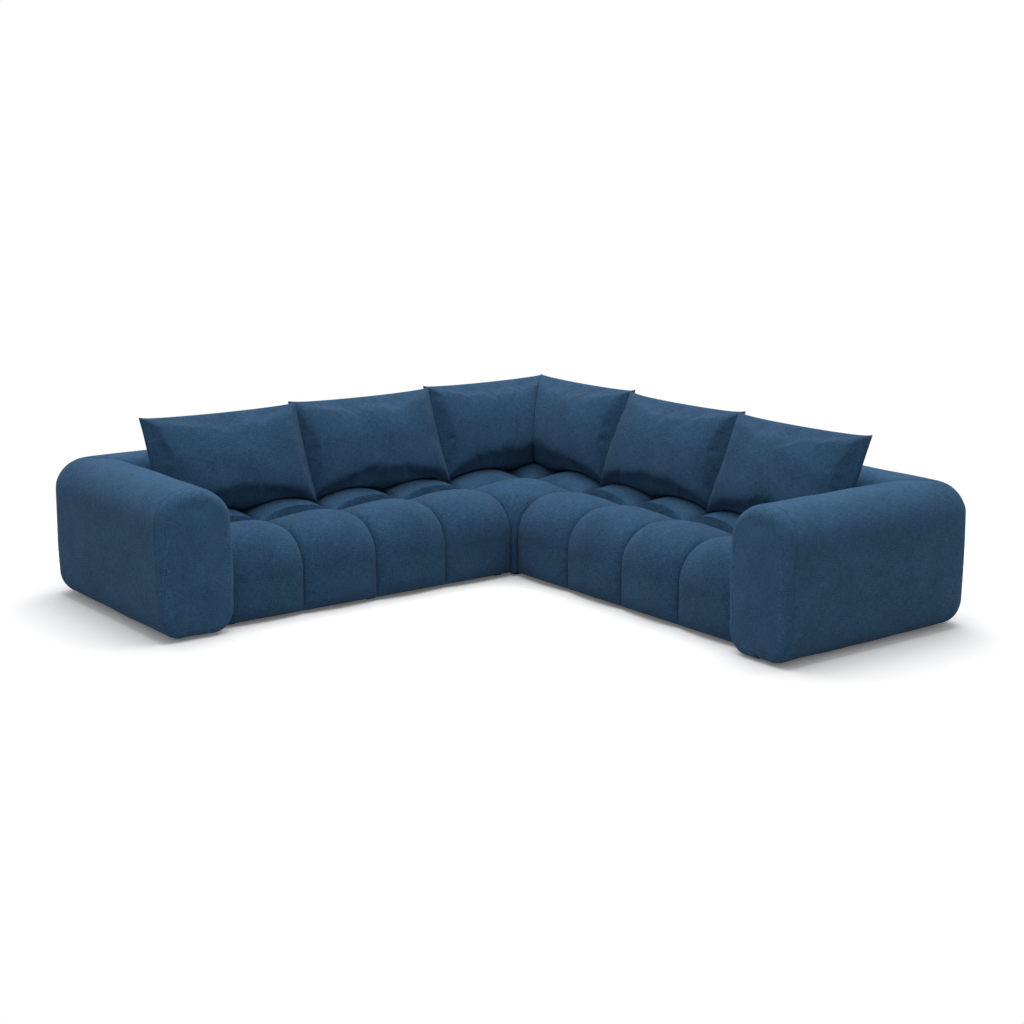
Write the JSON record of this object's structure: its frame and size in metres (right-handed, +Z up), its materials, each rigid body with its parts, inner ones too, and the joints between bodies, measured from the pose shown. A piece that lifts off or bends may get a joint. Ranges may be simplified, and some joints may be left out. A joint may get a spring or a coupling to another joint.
{
  "type": "corner sofa",
  "caption": "L-shaped corner sofa with quilted seat puffs, rounded bolster arms and back, and loose leaning back cushions.",
  "frame": {"origin": "on the floor below the middle of the square that the sofa covers", "axes": "+X to the right and +Y to the back seen from the seat of the left wing, whose back runs along X; +Z up; the right wing is the left one mirrored across the plane x = y"},
  "size_m": [2.8, 2.8, 0.7879],
  "materials": {
    "seat_fabric": "woven blue chenille over wadding",
    "bolster_fabric": "woven blue chenille over wadding",
    "cushion_fabric": "woven blue chenille",
    "fibre_filling": "white hollow-fibre filling",
    "foam": "cut polyurethane foam",
    "felt": "needled grey felt",
    "webbing": "elastic webbing",
    "dust_cloth": "black spunbond cloth",
    "rail_timber": "planed softwood",
    "plywood": "sawn plywood and softwood",
    "hook_steel": "zinc-plated folded steel",
    "foot_plastic": "moulded black plastic"
  },
  "bodies": {
    "sofa_base": {"bolster_glides": "foot_plastic", "corner_blocks": "rail_timber", "corner_dust_cloth": "dust_cloth", "corner_left_back_cover": "bolster_fabric", "corner_left_back_foam": "foam", "corner_left_back_frame": "plywood", "corner_right_back_cover": "bolster_fabric", "corner_right_back_foam": "foam", "corner_right_back_frame": "plywood", "corner_seat_foam": "foam", "corner_seat_quilt": "seat_fabric", "corner_seat_rails": "rail_timber", "corner_seat_webbing": "webbing", "corner_spring_felt": "felt", "frame_catches": "hook_steel", "frame_hooks": "hook_steel", "left_arm_cover": "bolster_fabric", "left_arm_foam": "foam", "left_arm_frame": "plywood", "left_back_cover": "bolster_fabric", "left_back_foam": "foam", "left_back_frame": "plywood", "left_dust_cloth": "dust_cloth", "left_seat_cross_rails": "rail_timber", "left_seat_foam": "foam", "left_seat_front_rail": "rail_timber", "left_seat_quilt": "seat_fabric", "left_seat_rear_rail": "rail_timber", "left_seat_webbing": "webbing", "left_spring_felt": "felt", "right_arm_cover": "bolster_fabric", "right_arm_foam": "foam", "right_arm_frame": "plywood", "right_back_cover": "bolster_fabric", "right_back_foam": "foam", "right_back_frame": "plywood", "right_dust_cloth": "dust_cloth", "right_seat_cross_rails": "rail_timber", "right_seat_foam": "foam", "right_seat_front_rail": "rail_timber", "right_seat_quilt": "seat_fabric", "right_seat_rear_rail": "rail_timber", "right_seat_webbing": "webbing", "right_spring_felt": "felt", "seat_feet": "foot_plastic"},
    "cushion_1": {"cushion_1_cover": "cushion_fabric", "cushion_1_filling": "fibre_filling"},
    "cushion_2": {"cushion_2_cover": "cushion_fabric", "cushion_2_filling": "fibre_filling"},
    "cushion_3": {"cushion_3_cover": "cushion_fabric", "cushion_3_filling": "fibre_filling"},
    "cushion_4": {"cushion_4_cover": "cushion_fabric", "cushion_4_filling": "fibre_filling"},
    "cushion_5": {"cushion_5_cover": "cushion_fabric", "cushion_5_filling": "fibre_filling"},
    "cushion_6": {"cushion_6_cover": "cushion_fabric", "cushion_6_filling": "fibre_filling"}
  },
  "joints": [
    {"name": "cushion_1_lift", "type": "slide", "parent": "sofa_base", "child": "cushion_1", "axis": [0, 0, 1], "range_m": [0, 0.45]},
    {"name": "cushion_2_lift", "type": "slide", "parent": "sofa_base", "child": "cushion_2", "axis": [0, 0, 1], "range_m": [0, 0.45]},
    {"name": "cushion_3_lift", "type": "slide", "parent": "sofa_base", "child": "cushion_3", "axis": [0, 0, 1], "range_m": [0, 0.45]},
    {"name": "cushion_4_lift", "type": "slide", "parent": "sofa_base", "child": "cushion_4", "axis": [0, 0, 1], "range_m": [0, 0.45]},
    {"name": "cushion_5_lift", "type": "slide", "parent": "sofa_base", "child": "cushion_5", "axis": [0, 0, 1], "range_m": [0, 0.45]},
    {"name": "cushion_6_lift", "type": "slide", "parent": "sofa_base", "child": "cushion_6", "axis": [0, 0, 1], "range_m": [0, 0.45]}
  ]
}
